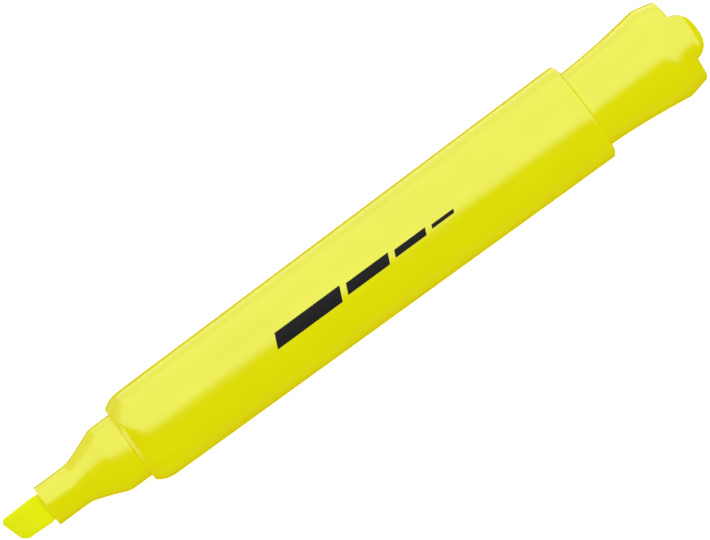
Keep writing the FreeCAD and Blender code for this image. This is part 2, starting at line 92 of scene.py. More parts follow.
@dataclass(frozen=True)
class Stop:
    """One corner of a moulding's lengthwise profile.

    Args:
        x: station along the pen.
        width: half width of the section.
        depth: half depth of the section.
        ease: length trimmed from both sides for a rounded corner.
        power: fullness of the section, 2 for an oval and more for a squarer one.
    """

    x: float
    width: float
    depth: float
    ease: float = 0.0
    power: float = 2.0

    def apart(self, other: "Stop") -> float:
        """Return the distance to another stop in the profile's own plane."""
        return math.hypot(self.x - other.x, max(abs(self.width - other.width),
                                                abs(self.depth - other.depth)))

    def toward(self, other: "Stop", share: float) -> "Stop":
        """Return the stop a share of the way to another one."""
        return Stop(self.x + (other.x - self.x) * share,
                    self.width + (other.width - self.width) * share,
                    self.depth + (other.depth - self.depth) * share,
                    0.0, self.power + (other.power - self.power) * share)

    def ring(self, count: int) -> list[tuple[float, float, float]]:
        """Return the section as points round the axis."""
        return [(self.x, y, z)
                for y, z in section(self.width, self.depth, self.power, self.power, count)]


def turns(count: int) -> list[float]:
    """Return evenly spaced directions round the axis, in radians."""
    return [2.0 * math.pi * (index + 0.5) / count for index in range(count)]


def section(width: float, depth: float, side: float, face: float,
            count: int) -> list[tuple[float, float]]:
    """Return a section as pairs of y and z round the axis.

    Args:
        width: half width.
        depth: half depth.
        side: fullness across, 2 for an oval and more for a squarer section.
        face: fullness in depth.
        count: points in the section.

    Returns:
        The section's points.
    """
    return [(width * squared(math.cos(turn), 2.0 / side),
             depth * squared(math.sin(turn), 2.0 / face)) for turn in turns(count)]


def squared(value: float, power: float) -> float:
    """Raise a signed value to a power and keep its sign."""
    return math.copysign(abs(value) ** power, value)


def smooth(share: float) -> float:
    """Return the S-curve from 0 to 1 with level ends."""
    share = min(1.0, max(0.0, share))
    return share * share * (3.0 - 2.0 * share)


def eased(stops: Sequence[Stop], closed: bool, steps: int = 5) -> list[Stop]:
    """Round the corners of a profile.

    Args:
        stops: the profile's corners in order.
        closed: whether the last corner joins the first one.
        steps: points in each rounded corner, less one.

    Returns:
        The profile with a short curve in place of each corner that has an ease.
    """
    result: list[Stop] = []
    count = len(stops)
    for index, stop in enumerate(stops):
        inner = closed or 0 < index < count - 1
        if stop.ease <= 0.0 or not inner:
            result.append(stop)
            continue
        before, after = stops[index - 1], stops[(index + 1) % count]
        start = stop.toward(before, min(0.48, stop.ease / max(1e-6, stop.apart(before))))
        end = stop.toward(after, min(0.48, stop.ease / max(1e-6, stop.apart(after))))
        for step in range(steps + 1):
            share = step / steps
            result.append(start.toward(stop, share).toward(stop.toward(end, share), share))
    return result


class Skin:
    """Rings of points joined into one closed surface."""

    def __init__(self, name: str, datum: Datum) -> None:
        """Start an empty skin measured from a datum."""
        self.name = name
        self.datum = datum
        self.rings: list[list[bmesh.types.BMVert]] = []
        self.mesh = bmesh.new()

    def add(self, points: Iterable[tuple[float, float, float]]) -> None:
        """Add a ring of points given in millimetres."""
        self.rings.append([self.mesh.verts.new(self.datum.at(*point)) for point in points])

    def sweep(self, stops: Sequence[Stop], count: int) -> None:
        """Add a ring for each stop of a profile."""
        for stop in stops:
            self.add(stop.ring(count))

    def join(self, closed: bool) -> None:
        """Join each ring to the next one, and the last to the first if the skin is a tube."""
        pairs = list(zip(self.rings, self.rings[1:]))
        if closed:
            pairs.append((self.rings[-1], self.rings[0]))
        for first, second in pairs:
            count = len(first)
            for index in range(count):
                after = (index + 1) % count
                self.mesh.faces.new((first[index], first[after], second[after], second[index]))

    def pole(self, facing: Facing, point: tuple[float, float, float]) -> None:
        """Close one end of the skin with a fan to a point."""
        tip = self.mesh.verts.new(self.datum.at(*point))
        ring = self.rings[facing.value]
        for index, vertex in enumerate(ring):
            self.mesh.faces.new((vertex, ring[(index + 1) % len(ring)], tip))

    def finish(self) -> bpy.types.Object:
        """Turn the skin into a shaded object at the frame's origin."""
        bmesh.ops.recalc_face_normals(self.mesh, faces=self.mesh.faces)
        return make_object(self.name, self.mesh)


def make_object(name: str, mesh: bmesh.types.BMesh) -> bpy.types.Object:
    """Write a bmesh to a new object in the scene.

    Args:
        name: the piece's name.
        mesh: the geometry, which is freed.

    Returns:
        The object, smooth shaded with its real edges kept sharp.
    """
    data = bpy.data.meshes.new(name)
    mesh.to_mesh(data)
    mesh.free()
    shade(data)
    piece = bpy.data.objects.new(name, data)
    bpy.context.scene.collection.objects.link(piece)
    return piece


def shade(data: bpy.types.Mesh) -> None:
    """Shade a mesh smooth except along its hard edges."""
    data.polygons.foreach_set("use_smooth", [True] * len(data.polygons))
    data.set_sharp_from_angle(angle=SMOOTH_ANGLE)


def carve(piece: bpy.types.Object, cutter: bpy.types.Object) -> None:
    """Cut one solid out of another and remove the cutter."""
    modifier = piece.modifiers.new("carve", "BOOLEAN")
    modifier.operation = "DIFFERENCE"
    modifier.solver = "EXACT"
    modifier.object = cutter
    bpy.context.view_layer.update()
    result = bpy.data.meshes.new_from_object(
        piece.evaluated_get(bpy.context.evaluated_depsgraph_get()))
    piece.modifiers.clear()
    piece.data = result
    shade(result)
    bpy.data.objects.remove(cutter)


def box_between(node: str) -> tuple[Vector, Vector]:
    """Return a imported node's lowest and highest corners in millimetres."""
    low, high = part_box(node)
    return Vector(low) / MM, Vector(high) / MM


# ---------------------------------------------------------------------------------------
# Shader tools
# ---------------------------------------------------------------------------------------


class Graph:
    """A node tree with short calls for adding and joining nodes."""

    def __init__(self, tree: bpy.types.NodeTree) -> None:
        """Wrap a node tree."""
        self.tree = tree

    def node(self, kind: str, settings: dict[str, object] | None = None,
             **inputs: object) -> bpy.types.Node:
        """Add a node.

        Args:
            kind: the node's type.
            settings: properties of the node by name.
            inputs: values or sockets by input name, with spaces written as underscores.

        Returns:
            The new node.
        """
        node = self.tree.nodes.new(kind)
        for key, value in (settings or {}).items():
            setattr(node, key, value)
        for key, value in inputs.items():
            self.feed(node.inputs[key.replace("_", " ")], value)
        return node

    def feed(self, socket: bpy.types.NodeSocket, value: object) -> None:
        """Link a socket to an input, or set the input's own value."""
        if isinstance(value, bpy.types.NodeSocket):
            self.tree.links.new(value, socket)
        else:
            socket.default_value = value

    def math(self, operation: str, first: object, second: object = 0.0,
             clamp: bool = False) -> bpy.types.NodeSocket:
        """Add a Math node and return its result."""
        node = self.node("ShaderNodeMath", {"operation": operation, "use_clamp": clamp})
        self.feed(node.inputs[0], first)
        self.feed(node.inputs[1], second)
        return node.outputs[0]

    def noise(self, place: object, scale: object, detail: float = 3.0,
              roughness: float = 0.5) -> bpy.types.NodeSocket:
        """Add a noise texture and return its value."""
        node = self.node("ShaderNodeTexNoise", None, Vector=place, Scale=scale, Detail=detail,
                         Roughness=roughness)
        return node.outputs["Fac"]

    def ramp(self, value: object, low: float, high: float) -> bpy.types.NodeSocket:
        """Map a value smoothly from between low and high to between 0 and 1."""
        node = self.node("ShaderNodeMapRange", {"interpolation_type": "SMOOTHSTEP"},
                         Value=value, From_Min=low, From_Max=high)
        return node.outputs[0]

    def blend(self, share: object, first: object, second: object) -> bpy.types.NodeSocket:
        """Mix two colours and return the result."""
        node = self.node("ShaderNodeMix", {"data_type": "RGBA"})
        self.feed(node.inputs[0], share)
        self.feed(node.inputs[6], first)
        self.feed(node.inputs[7], second)
        return node.outputs[2]


class Effect:
    """A shader node group with named inputs and outputs, built once and shared."""

    made: dict[str, bpy.types.NodeTree] = {}

    def __init__(self, name: str, inputs: dict[str, float], outputs: Sequence[str],
                 build: Callable[[Graph, bpy.types.Node, bpy.types.Node], None]) -> None:
        """Describe an effect.

        Args:
            name: the group's name.
            inputs: the default of each numeric input.
            outputs: the values that the group puts out.
            build: fills the group, given its graph, input node and output node.
        """
        self.name, self.inputs, self.outputs, self.build = name, inputs, outputs, build

    def group(self) -> bpy.types.NodeTree:
        """Return the node group, making it on first use."""
        if self.name not in self.made:
            tree = bpy.data.node_groups.new(self.name, "ShaderNodeTree")
            for key, value in self.inputs.items():
                socket = tree.interface.new_socket(key, in_out="INPUT",
                                                   socket_type="NodeSocketFloat")
                socket.default_value = value
            for key in self.outputs:
                tree.interface.new_socket(key, in_out="OUTPUT", socket_type="NodeSocketFloat")
            self.build(Graph(tree), tree.nodes.new("NodeGroupInput"),
                       tree.nodes.new("NodeGroupOutput"))
            self.made[self.name] = tree
        return self.made[self.name]

    def place(self, graph: Graph, **inputs: float) -> bpy.types.Node:
        """Add the group to a material with its own values."""
        node = graph.node("ShaderNodeGroup", {"node_tree": self.group()})
        for key, value in inputs.items():
            node.inputs[key.replace("_", " ")].default_value = value
        return node


def object_place(graph: Graph, stretch: tuple[float, float, float] = (1, 1, 1)
                 ) -> bpy.types.NodeSocket:
    """Return the surface's own place in millimetres, stretched along the three axes."""
    coordinate = graph.node("ShaderNodeTexCoord")
    mapping = graph.node("ShaderNodeMapping", None, Vector=coordinate.outputs["Object"],
                         Scale=tuple(1000.0 * part for part in stretch))
    return mapping.outputs[0]


def fill_moulded(graph: Graph, source: bpy.types.Node, result: bpy.types.Node) -> None:
    """Fill the moulded skin: fine grain, slow sink waves, flow streaks and cloudy tone."""
    grain = graph.noise(object_place(graph), source.outputs["Grain"], 2.0, 0.6)
    wave = graph.noise(object_place(graph, (0.35, 1, 1)), source.outputs["Wave"], 1.5, 0.4)
    flow = graph.noise(object_place(graph, (0.06, 1, 1)), 1.1, 3.0, 0.55)
    tone = graph.noise(object_place(graph, (0.5, 1, 1)), 0.22, 2.0, 0.5)
    fine = graph.math("MULTIPLY", grain, source.outputs["Grain height"])
    slow = graph.math("MULTIPLY", wave, source.outputs["Wave height"])
    graph.feed(result.inputs["Height"], graph.math("ADD", fine, slow))
    graph.feed(result.inputs["Flow"], graph.ramp(flow, 0.3, 0.72))
    graph.feed(result.inputs["Tone"], graph.ramp(tone, 0.25, 0.75))


def fill_handling(graph: Graph, source: bpy.types.Node, result: bpy.types.Node) -> None:
    """Fill the handling marks: hairline scratches, faint smudges and rubbed edges."""
    lines = graph.node("ShaderNodeTexNoise", {"noise_dimensions": "3D"},
                       Vector=object_place(graph, (0.12, 1.6, 1.6)), Scale=2.2, Detail=2.0,
                       Distortion=0.6)
    narrow = graph.math("ABSOLUTE", graph.math("SUBTRACT", lines.outputs["Fac"], 0.5))
    scratch = graph.math("SUBTRACT", 1.0, graph.ramp(narrow, 0.0, 0.006))
    patch = graph.ramp(graph.noise(object_place(graph), 0.35, 2.0), 0.52, 0.66)
    scratch = graph.math("MULTIPLY", graph.math("MULTIPLY", scratch, patch),
                         source.outputs["Scratches"])
    smudge = graph.ramp(graph.noise(object_place(graph, (0.6, 1, 1)), 0.5, 5.0, 0.65),
                        0.48, 0.75)
    edge = graph.node("ShaderNodeNewGeometry").outputs["Pointiness"]
    rub = graph.math("MULTIPLY", graph.ramp(edge, 0.53, 0.62), source.outputs["Rubbing"])
    graph.feed(result.inputs["Scratch"], scratch)
    graph.feed(result.inputs["Smudge"], smudge)
    graph.feed(result.inputs["Rub"], rub)


def fill_seam(graph: Graph, source: bpy.types.Node, result: bpy.types.Node) -> None:
    """Fill the parting line: a hair of flash where the mould halves meet at one height."""
    place = graph.node("ShaderNodeSeparateXYZ", None, Vector=object_place(graph))
    away = graph.math("ABSOLUTE",
                      graph.math("SUBTRACT", place.outputs["Z"], source.outputs["Level"]))
    line = graph.math("SUBTRACT", 1.0, graph.ramp(away, 0.02, 0.075))
    graph.feed(result.inputs["Line"], line)


def fill_fibre(graph: Graph, source: bpy.types.Node, result: bpy.types.Node) -> None:
    """Fill the packed fibres: long strands, a pressed weave between them and wet patches."""
    strand = graph.noise(object_place(graph, (0.09, 1, 1)), source.outputs["Strand"], 4.0, 0.6)
    cross = graph.noise(object_place(graph), source.outputs["Pore"], 3.0, 0.7)
    wet = graph.noise(object_place(graph, (0.6, 1, 1)), 0.45, 3.0, 0.55)
    height = graph.math("ADD", graph.math("MULTIPLY", strand, 0.65),
                        graph.math("MULTIPLY", cross, 0.35))
    graph.feed(result.inputs["Height"], height)
    graph.feed(result.inputs["Pores"], graph.ramp(cross, 0.56, 0.74))
    graph.feed(result.inputs["Wet"], graph.ramp(wet, 0.35, 0.7))


MOULDED = Effect("Moulded_skin", {"Grain": 9.0, "Grain height": 1.0, "Wave": 0.3,
                                  "Wave height": 1.0}, ("Height", "Flow", "Tone"), fill_moulded)
HANDLING = Effect("Handling_marks", {"Scratches": 1.0, "Rubbing": 1.0},
                  ("Scratch", "Smudge", "Rub"), fill_handling)
SEAM = Effect("Parting_line", {"Level": 0.0}, ("Line",), fill_seam)
FIBRE = Effect("Packed_fibre", {"Strand": 6.0, "Pore": 4.0}, ("Height", "Pores", "Wet"),
               fill_fibre)

Colour = tuple[float, float, float]


def new_material(name: str) -> tuple[bpy.types.Material, Graph, bpy.types.Node]:
    """Make a material and return it with its graph and its Principled shader."""
    material = bpy.data.materials.new(name)
    material.use_nodes = True
    graph = Graph(material.node_tree)
    return material, graph, material.node_tree.nodes["Principled BSDF"]


def scaled(colour: Colour, share: float) -> tuple[float, float, float, float]:
    """Return a colour made lighter or darker, with full alpha."""
    return (*(min(1.0, part * share) for part in colour), 1.0)


@dataclass(frozen=True)
class PlasticFinish:
    """Glossy or satin moulded plastic whose glow is painted: an even emission, in place of the dye's
    fluorescence, that lifts the shaded side.

    Args:
        name: the material's name.
        body: colour of the plastic by daylight.
        glow: colour of the painted glow, which lifts the shade whatever the lamps.
        painted_glow_strength: how strong the painted glow is.
        roughness: of the polished skin.
        grain: depth of the fine mould grain, in millimetres.
        wave: depth of the slow sink waves, in millimetres.
        level: height of the parting line above the resting plane, in millimetres.
        flash: height of the parting line's flash, in millimetres.
        scratches: how many hairline scratches show.
    """

    name: str
    body: Colour
    glow: Colour
    painted_glow_strength: float
    roughness: float
    grain: float = 0.002
    wave: float = 0.01
    level: float = 0.0
    flash: float = 0.02
    scratches: float = 1.0

    def build(self) -> bpy.types.Material:
        """Make the material."""
        material, graph, shader = new_material(self.name)
        skin = MOULDED.place(graph, Grain_height=self.grain, Wave_height=self.wave)
        marks = HANDLING.place(graph, Scratches=self.scratches)
        seam = SEAM.place(graph, Level=self.level)
        cloudy = graph.blend(skin.outputs["Tone"], scaled(self.body, 0.975),
                             scaled(self.body, 1.02))
        streaked = graph.blend(graph.math("MULTIPLY", skin.outputs["Flow"], 0.05), cloudy,
                               scaled(self.body, 0.9))
        worn = graph.blend(graph.math("MULTIPLY", marks.outputs["Rub"], 0.3), streaked,
                           scaled(self.body, 1.12))
        graph.feed(shader.inputs["Base Color"],
                   graph.blend(graph.math("MULTIPLY", seam.outputs["Line"], 0.12), worn,
                               scaled(self.body, 0.85)))
        # Painted glow: an even emission colour, varied only by the random tone, that lifts the shaded
        # side.
        graph.feed(shader.inputs["Emission Color"],
                   graph.blend(skin.outputs["Tone"], scaled(self.glow, 0.985),
                               scaled(self.glow, 1.01)))
        shader.inputs["Emission Strength"].default_value = self.painted_glow_strength
        rough = graph.math("MULTIPLY", marks.outputs["Smudge"], 0.05)
        rough = graph.math("ADD", rough, graph.math("MULTIPLY", marks.outputs["Scratch"], 0.2))
        rough = graph.math("ADD", rough, graph.math("MULTIPLY", skin.outputs["Flow"], 0.02))
        graph.feed(shader.inputs["Roughness"], graph.math("ADD", rough, self.roughness))
        height = graph.math("ADD", skin.outputs["Height"],
                            graph.math("MULTIPLY", seam.outputs["Line"], self.flash))
        height = graph.math("SUBTRACT", height,
                            graph.math("MULTIPLY", marks.outputs["Scratch"], 0.004))
        bump = graph.node("ShaderNodeBump", None, Height=height, Strength=1.0, Distance=MM)
        graph.feed(shader.inputs["Normal"], bump.outputs[0])
        return material


@dataclass(frozen=True)
class FibreFinish:
    """Felt or bundled fibre that is soaked with fluorescent ink, and whose glow is painted: an even
    emission that lifts the shaded side.

    Args:
        name: the material's name.
        ink: colour of the soaked fibre.
        pale: colour of the dry strands.
        glow: colour of the painted glow, which lifts the shade whatever the lamps.
        painted_glow_strength: how strong the painted glow is.
        strand: how fine the strands are.
        depth: depth of the surface between strands, in millimetres.
    """

    name: str
    ink: Colour
    pale: Colour
    glow: Colour
    painted_glow_strength: float
    strand: float = 6.0
    depth: float = 0.05

    def build(self) -> bpy.types.Material:
        """Make the material."""
        material, graph, shader = new_material(self.name)
        fibre = FIBRE.place(graph, Strand=self.strand, Pore=self.strand * 0.7)
        strands = graph.blend(graph.math("MULTIPLY", fibre.outputs["Height"], 0.5),
                              scaled(self.ink, 0.9), scaled(self.pale, 1.0))
        porous = graph.blend(graph.math("MULTIPLY", fibre.outputs["Pores"], 0.25), strands,
                             scaled(self.ink, 0.7))
        soaked = graph.blend(graph.math("MULTIPLY", fibre.outputs["Wet"], 0.3), porous,
                             scaled(self.ink, 1.0))
        graph.feed(shader.inputs["Base Color"], soaked)
        # Painted glow: an even emission colour, a little lower off the wet patches, that lifts the shaded
        # side.
        graph.feed(shader.inputs["Emission Color"],
                   graph.blend(fibre.outputs["Wet"], scaled(self.glow, 0.95),
                               scaled(self.glow, 1.0)))
        shader.inputs["Emission Strength"].default_value = self.painted_glow_strength
        shader.inputs["Specular IOR Level"].default_value = 0.1
        graph.feed(shader.inputs["Roughness"],
                   graph.math("SUBTRACT", 0.9,
                              graph.math("MULTIPLY", fibre.outputs["Wet"], 0.2)))
        bump = graph.node("ShaderNodeBump", None, Height=fibre.outputs["Height"], Strength=0.8,
                          Distance=self.depth * MM)
        graph.feed(shader.inputs["Normal"], bump.outputs[0])
        return material


@dataclass(frozen=True)
class PrintFinish:
    """Pad-printed ink: nearly black, with thin spots and a slightly grainy edge.

    Args:
        name: the material's name.
        ink: the print's colour.
        thin: colour where the print is thin.
    """

    name: str
    ink: Colour
    thin: Colour

    def build(self) -> bpy.types.Material:
        """Make the material."""
        material, graph, shader = new_material(self.name)
        skin = MOULDED.place(graph, Grain=14.0, Grain_height=0.004, Wave_height=0.0)
        marks = HANDLING.place(graph, Scratches=1.0)
        spots = graph.ramp(graph.noise(object_place(graph), 6.0, 3.0, 0.6),
                           0.62, 0.8)
        graph.feed(shader.inputs["Base Color"],
                   graph.blend(graph.math("MULTIPLY", spots, 0.35), scaled(self.ink, 1.0),
                               scaled(self.thin, 1.0)))
        graph.feed(shader.inputs["Roughness"],
                   graph.math("ADD", 0.55,
                              graph.math("MULTIPLY", marks.outputs["Smudge"], 0.12)))
        shader.inputs["Specular IOR Level"].default_value = 0.1
        bump = graph.node("ShaderNodeBump", None, Height=skin.outputs["Height"], Distance=MM)
        graph.feed(shader.inputs["Normal"], bump.outputs[0])
        return material


@dataclass(frozen=True)
class FilmFinish:
    """Thin clear film round the ink core, wetted by the ink behind it.

    Args:
        name: the material's name.
        tint: colour of the wet film.
        clear: colour of its dry patches.
    """

    name: str
    tint: Colour
    clear: Colour

    def build(self) -> bpy.types.Material:
        """Make the material."""
        material, graph, shader = new_material(self.name)
        fibre = FIBRE.place(graph, Strand=3.0, Pore=1.5)
        graph.feed(shader.inputs["Base Color"],
                   graph.blend(fibre.outputs["Wet"], scaled(self.clear, 1.0),
                               scaled(self.tint, 1.0)))
        graph.feed(shader.inputs["Alpha"],
                   graph.math("ADD", 0.35, graph.math("MULTIPLY", fibre.outputs["Wet"], 0.3)))
        graph.feed(shader.inputs["Roughness"],
                   graph.math("ADD", 0.12,
                              graph.math("MULTIPLY", fibre.outputs["Pores"], 0.15)))
        bump = graph.node("ShaderNodeBump", None, Height=fibre.outputs["Height"], Strength=0.4,
                          Distance=0.03 * MM)
        graph.feed(shader.inputs["Normal"], bump.outputs[0])
        return material


# ---------------------------------------------------------------------------------------
# Sub-assemblies
# ---------------------------------------------------------------------------------------


def dress(piece: bpy.types.Object, material: bpy.types.Material, body: str, node: str) -> bpy.types.Object:
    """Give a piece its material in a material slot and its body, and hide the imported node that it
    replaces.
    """
    piece.data.materials.clear()
    piece.data.materials.append(material)
    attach(piece, body)
    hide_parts(node)
    log.info("%s: %d faces", piece.name, len(piece.data.polygons))
    return piece


@dataclass
class Barrel:
    """Oval tank with a crowned shoulder, a plug seat and a rim round the cap socket."""

    datum: Datum
    length: float = 91.8
    face: tuple[float, float] = (6.95, 5.5)
    front: tuple[float, float] = (8.2, 6.6)
    rear: tuple[float, float] = (9.0, 7.2)
    shoulder: float = 4.6
    fullness: float = 3.3
    crown: float = 0.4
    socket: tuple[float, float, float] = (7.12, 5.67, 8.3)
    seat: tuple[float, float, float] = (6.9, 5.45, 5.0)
    cavity_rear: tuple[float, float] = (6.775, 5.325)
    cavity_front: tuple[float, float] = (7.05, 5.12)
    front_wall: float = 2.6
    bore: tuple[float, float] = (5.46, 4.01)
    rim: tuple[float, float] = (0.75, 0.2)
    steps: int = 12
    count: int = 160

    def surface(self, x: float, y: float) -> float:
        """Return the height of the printed face above the axis."""
        share = (x - self.shoulder) / (self.length - self.crown - self.shoulder)
        width = self.front[0] + (self.rear[0] - self.front[0]) * share
        depth = self.front[1] + (self.rear[1] - self.front[1]) * share
        return depth * math.sqrt(max(0.0, 1.0 - (y / width) ** 2))

    def profile(self) -> list[Stop]:
        """Return the closed profile: outside from the nose to the rim, then back inside."""
        stops = [Stop(0.0, *self.bore), Stop(0.0, *self.face, 0.3)]
        for index in range(1, self.steps + 1):
            step = index / self.steps
            rise = 1.0 - (1.0 - step) ** self.fullness
            stops.append(Stop(self.shoulder * step,
                              self.face[0] + (self.front[0] - self.face[0]) * rise,
                              self.face[1] + (self.front[1] - self.face[1]) * rise))
        edge = self.length - self.crown
        for share in (0.25, 0.5, 0.75, 0.97):
            x = self.shoulder + (edge - self.shoulder) * share
            stops.append(Stop(x, self.front[0] + (self.rear[0] - self.front[0]) * share,
                              self.front[1] + (self.rear[1] - self.front[1]) * share))
        width, depth, deep = self.socket
        seat = self.length - deep
        inner = seat - self.seat[2]
        stops += [
            Stop(edge, *self.rear, 0.28),
            Stop(self.length, self.rear[0] - self.rim[0], self.rear[1] - self.rim[1], 0.25),
            Stop(self.length, width, depth, 0.15),
            Stop(seat, width, depth, 0.1),
            Stop(seat, *self.seat[:2], 0.1),
            Stop(inner, *self.seat[:2], 0.1),
            Stop(inner, *self.cavity_rear, 0.1),
            Stop(self.front_wall, *self.cavity_front, 0.3),
            Stop(self.front_wall, *self.bore, 0.1),
        ]
        return eased(stops, closed=True)

    def build(self, finish: bpy.types.Material) -> bpy.types.Object:
        """Make and dress the barrel."""
        skin = Skin("tank_barrel", self.datum)
        skin.sweep(self.profile(), self.count)
        skin.join(closed=True)
        return dress(skin.finish(), finish, "barrel", "barrel_shell")


@dataclass
class FrontSection:
    """Nose moulding: oval base, flared taper and the round tube that holds the nib."""

    datum: Datum
    base: tuple[float, float, float] = (6.05, 4.6, 4.2)
    taper: float = 6.3
    bend: float = 1.15
    soft: float = 0.7
    tube: tuple[float, float] = (3.7, 6.3)
    skirt: tuple[float, float, float] = (5.45, 4.0, 6.0)
    hollow: tuple[float, float] = (4.45, 3.0)
    slot: tuple[float, float] = (2.55, 1.85)
    slot_flare: tuple[float, float] = (0.25, 0.3)
    steps: int = 28
    count: int = 128

    def rise(self, place: float) -> float:
        """Return how far the taper has risen from the tube, with its corners softened."""
        parts = [place + self.soft * step / 4.0 for step in range(-4, 5)]
        return sum(max(0.0, 1.0 - max(0.0, part / self.taper)) ** self.bend
                   for part in parts) / len(parts)

    def profile(self) -> list[Stop]:
        """Return the closed profile: outside from the skirt to the nib, then back inside."""
        width, depth, length = self.base
        radius, reach = self.tube
        stops = [Stop(self.skirt[2], *self.hollow), Stop(self.skirt[2], *self.skirt[:2], 0.15),
                 Stop(0.0, *self.skirt[:2]), Stop(0.0, width, depth, 0.08)]
        for index in range(self.steps + 1):
            place = -self.soft + (self.taper + 2.0 * self.soft) * index / self.steps
            rise = self.rise(place)
            stops.append(Stop(-length - place, radius + (width - radius) * rise,
                              radius + (depth - radius) * rise))
        front = -length - self.taper - reach
        wide, deep = self.slot
        flare, run = self.slot_flare
        stops += [
            Stop(front, radius, radius, 0.28),
            Stop(front, wide + flare, deep + flare, 0.12, 6.0),
            Stop(front + run, wide, deep, 0.12, 9.0),
            Stop(-length - self.taper, wide, deep, 0.0, 9.0),
            Stop(-length, *self.hollow),
        ]
        return eased(stops, closed=True)

    def build(self, finish: bpy.types.Material) -> bpy.types.Object:
        """Make and dress the front section."""
        skin = Skin("nose_moulding", self.datum)
        skin.sweep(self.profile(), self.count)
        skin.join(closed=True)
        return dress(skin.finish(), finish, "barrel", "front_section")


@dataclass
class ChiselNib:
    """Felt bar with rounded flanks and a slanted, bevelled chisel end."""

    datum: Datum
    half_width: float = 2.5
    half_depth: float = 1.8
    reach: float = 24.3
    slant: float = 1.6
    heel: float = 0.9
    bevel: float = 3.2
    edge: float = 0.65
    tail: float = 11.3
    front: float = 16.8
    heel_round: float = 0.85
    toe: float = 0.9
    toe_round: float = 0.9
    swell: float = 0.16
    swell_run: float = 1.2
    narrowing: float = 0.12
    power: float = 5.5
    count: int = 72
    steps: int = 40
    closing: tuple[tuple[float, float], ...] = ((0.93, 0.12), (0.75, 0.2))
    closing_shift: float = 0.02
    closing_depth: float = 0.8
    crown: float = 0.22

    def tip(self, y: float) -> float:
        """Return where the slanted end lies at a place across the nib."""
        across = (self.half_width - y) / (2.0 * self.half_width)
        slanted = -self.reach + self.slant * across
        low = max(0.0, -self.half_width + self.heel - y)
        high = max(0.0, y - self.half_width + self.toe)
        return slanted + low * low * self.heel_round + high * high * self.toe_round

    def ring(self, share: float) -> list[tuple[float, float, float]]:
        """Return the ring a share of the way from the tail to the slanted end."""
        nominal = self.tail + (-self.reach - self.tail) * share
        outside = smooth((-self.front - nominal) / self.swell_run)
        narrow = smooth((-self.front - nominal) / (self.reach - self.front)) * self.narrowing
        width = self.half_width - narrow + self.swell * outside
        near = (nominal + self.reach) / self.bevel
        depth = self.edge + (self.half_depth - self.edge) * min(1.0, max(0.0, near))
        points = []
        for y, z in section(width, depth, self.power, self.power, self.count):
            end = self.tip(y)
            x = nominal if nominal > -self.front else (
                -self.front + (end + self.front) * (-self.front - nominal)
                / (self.reach - self.front))
            points.append((x, y, z))
        return points

    def build(self, finish: bpy.types.Material) -> bpy.types.Object:
        """Make and dress the nib."""
        skin = Skin("felt_nib", self.datum)
        rings = [self.ring(index / self.steps) for index in range(self.steps + 1)]
        for inset, forward in self.closing:
            rings.append([(self.tip(y * inset) - forward, y * inset + self.closing_shift,
                           z * inset * self.closing_depth)
                          for x, y, z in rings[self.steps]])
        for ring in rings:
            skin.add(ring)
        skin.join(closed=False)
        skin.pole(Facing.LAST, (self.tip(0.0) - self.crown, 0.0, 0.0))
        skin.pole(Facing.FIRST, (rings[0][0][0], 0.0, 0.0))
        return dress(skin.finish(), finish, "barrel", "chisel_nib")


@dataclass
class RearPlug:
    """Stopper at the bottom of the cap socket, with a shallow dish and a gate mark."""

    datum: Datum
    face: float = 83.5
    length: float = 5.0
    size: tuple[float, float] = (6.89, 5.44)
    wall: float = 0.9
    disc: float = 1.6

    def build(self, finish: bpy.types.Material) -> bpy.types.Object:
        """Make and dress the plug."""
        skin = Skin("tank_plug", self.datum)
        width, depth = self.size
        rear = self.face - self.length
        stops = [
            Stop(self.face - 0.15, 0.25, 0.25), Stop(self.face - 0.15, 0.5, 0.5, 0.05),
            Stop(self.face - 0.35, 0.62, 0.62, 0.05),
            Stop(self.face - 0.35, width - 1.5, depth - 1.5, 0.12),
            Stop(self.face, width - 1.2, depth - 1.2, 0.12),
            Stop(self.face, width, depth, 0.25), Stop(rear, width, depth, 0.15),
            Stop(rear, width - self.wall, depth - self.wall, 0.15),
            Stop(self.face - self.disc, width - self.wall, depth - self.wall, 0.3),
            Stop(self.face - self.disc, 0.3, 0.3),
        ]
        skin.sweep(eased(stops, closed=False), 96)
        skin.join(closed=False)
        skin.pole(Facing.FIRST, (self.face - 0.15, 0.0, 0.0))
        skin.pole(Facing.LAST, (self.face - self.disc, 0.0, 0.0))
        return dress(skin.finish(), finish, "barrel", "rear_plug")


@dataclass
class Reservoir:
    """Fibre core and the film round it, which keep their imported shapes."""

    def build(self, fibre: bpy.types.Material, film: bpy.types.Material) -> None:
        """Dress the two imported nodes."""
        for node, material in (("ink_core", fibre), ("core_film", film)):
            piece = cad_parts[node]
            piece.data.materials.clear()
            piece.data.materials.append(material)
            log.info("%s: packed shape kept", node)


